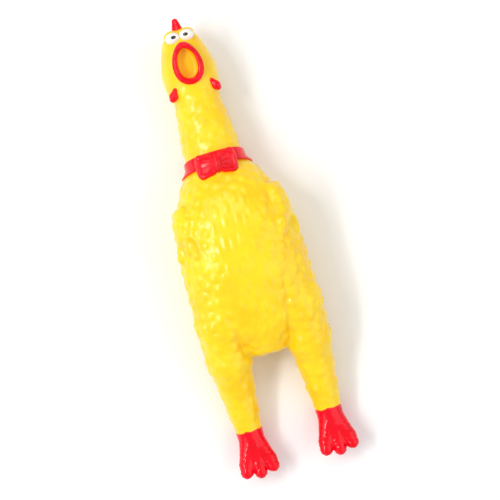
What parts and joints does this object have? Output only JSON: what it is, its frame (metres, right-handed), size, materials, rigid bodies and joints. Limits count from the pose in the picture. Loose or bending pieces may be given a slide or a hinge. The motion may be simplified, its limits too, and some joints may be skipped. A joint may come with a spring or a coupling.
{
  "type": "squeaking rubber chicken",
  "caption": "Squeaking rubber chicken lying on its back: bulging belly, open round mouth, comb, wattles, bow tie, folded wings, and long legs with red feet.",
  "frame": {"origin": "on the surface it lies on, under the middle of its bounding box", "axes": "+Z is the chicken's front (belly up), +Y towards its head, +X its own left side"},
  "size_m": [0.047, 0.1708, 0.034],
  "materials": {
    "yellow_skin": "glossy soft vinyl",
    "red_paint": "glossy red paint on soft vinyl",
    "eye_white": "glossy white paint",
    "pupil_black": "glossy black paint",
    "whistle_plastic": "moulded white plastic",
    "reed_film": "clear thin film"
  },
  "bodies": {
    "torso": {"torso_skin": "yellow_skin", "left_wing": "yellow_skin", "right_wing": "yellow_skin", "collar_band": "red_paint", "bow_left_loop": "red_paint", "bow_right_loop": "red_paint", "bow_knot": "red_paint"},
    "belly": {"belly_panel": "yellow_skin"},
    "lower_neck": {"lower_neck_skin": "yellow_skin"},
    "upper_neck": {"upper_neck_skin": "yellow_skin", "whistle_barrel": "whistle_plastic", "whistle_trough": "whistle_plastic", "reed_clamp": "whistle_plastic", "whistle_cap": "whistle_plastic"},
    "reed_tongue": {"reed": "reed_film"},
    "head": {"head_skin": "yellow_skin", "lip_ring": "red_paint", "comb": "red_paint", "left_eye": "eye_white", "right_eye": "eye_white", "left_pupil": "pupil_black", "right_pupil": "pupil_black", "left_wattle": "red_paint", "right_wattle": "red_paint"},
    "left_upper_leg": {"left_thigh_skin": "yellow_skin"},
    "left_lower_leg": {"left_shank_skin": "yellow_skin"},
    "left_paw": {"left_foot": "red_paint"},
    "right_upper_leg": {"right_thigh_skin": "yellow_skin"},
    "right_lower_leg": {"right_shank_skin": "yellow_skin"},
    "right_paw": {"right_foot": "red_paint"}
  },
  "joints": [
    {"name": "belly_squeeze", "type": "slide", "parent": "torso", "child": "belly", "axis": [0, 0, -1], "range_m": [0, 0.012], "stiffness_N_per_m": 300},
    {"name": "neck_nod", "type": "hinge", "parent": "torso", "child": "lower_neck", "pos_m": [0, 0.04, 0.013], "axis": [1, 0, 0], "range_deg": [-35, 35], "stiffness_Nm_per_rad": 0.06},
    {"name": "neck_sway", "type": "hinge", "parent": "lower_neck", "child": "upper_neck", "pos_m": [0, 0.049, 0.013], "axis": [0, 0.0087, 1], "range_deg": [-25, 25], "stiffness_Nm_per_rad": 0.05},
    {"name": "head_turn", "type": "hinge", "parent": "upper_neck", "child": "head", "pos_m": [0, 0.056, 0.013], "axis": [0, 1, 0.0087], "range_deg": [-40, 40], "stiffness_Nm_per_rad": 0.04},
    {"name": "reed_lift", "type": "hinge", "parent": "upper_neck", "child": "reed_tongue", "pos_m": [0, 0.0533, 0.01323], "axis": [-1, 0, 0], "range_deg": [0, 8], "stiffness_Nm_per_rad": 0.0001},
    {"name": "left_hip_swing", "type": "hinge", "parent": "torso", "child": "left_upper_leg", "pos_m": [0.0153, -0.045, 0.0105], "axis": [1, 0, 0], "range_deg": [-40, 40], "stiffness_Nm_per_rad": 0.04},
    {"name": "left_knee_splay", "type": "hinge", "parent": "left_upper_leg", "child": "left_lower_leg", "pos_m": [0.0153, -0.05488, 0.00894], "axis": [0, -0.1564, 0.9877], "range_deg": [-12, 25], "stiffness_Nm_per_rad": 0.03},
    {"name": "left_ankle_flex", "type": "hinge", "parent": "left_lower_leg", "child": "left_paw", "pos_m": [0.0153, -0.06871, 0.00675], "axis": [0.9994, 0, 0.0349], "range_deg": [-30, 30], "stiffness_Nm_per_rad": 0.01},
    {"name": "right_hip_swing", "type": "hinge", "parent": "torso", "child": "right_upper_leg", "pos_m": [-0.0153, -0.045, 0.0105], "axis": [1, 0, 0], "range_deg": [-40, 40], "stiffness_Nm_per_rad": 0.04},
    {"name": "right_knee_splay", "type": "hinge", "parent": "right_upper_leg", "child": "right_lower_leg", "pos_m": [-0.0153, -0.05488, 0.00894], "axis": [0, 0.1564, -0.9877], "range_deg": [-12, 25], "stiffness_Nm_per_rad": 0.03},
    {"name": "right_ankle_flex", "type": "hinge", "parent": "right_lower_leg", "child": "right_paw", "pos_m": [-0.0153, -0.06871, 0.00675], "axis": [0.9994, 0, -0.0349], "range_deg": [-30, 30], "stiffness_Nm_per_rad": 0.01}
  ]
}
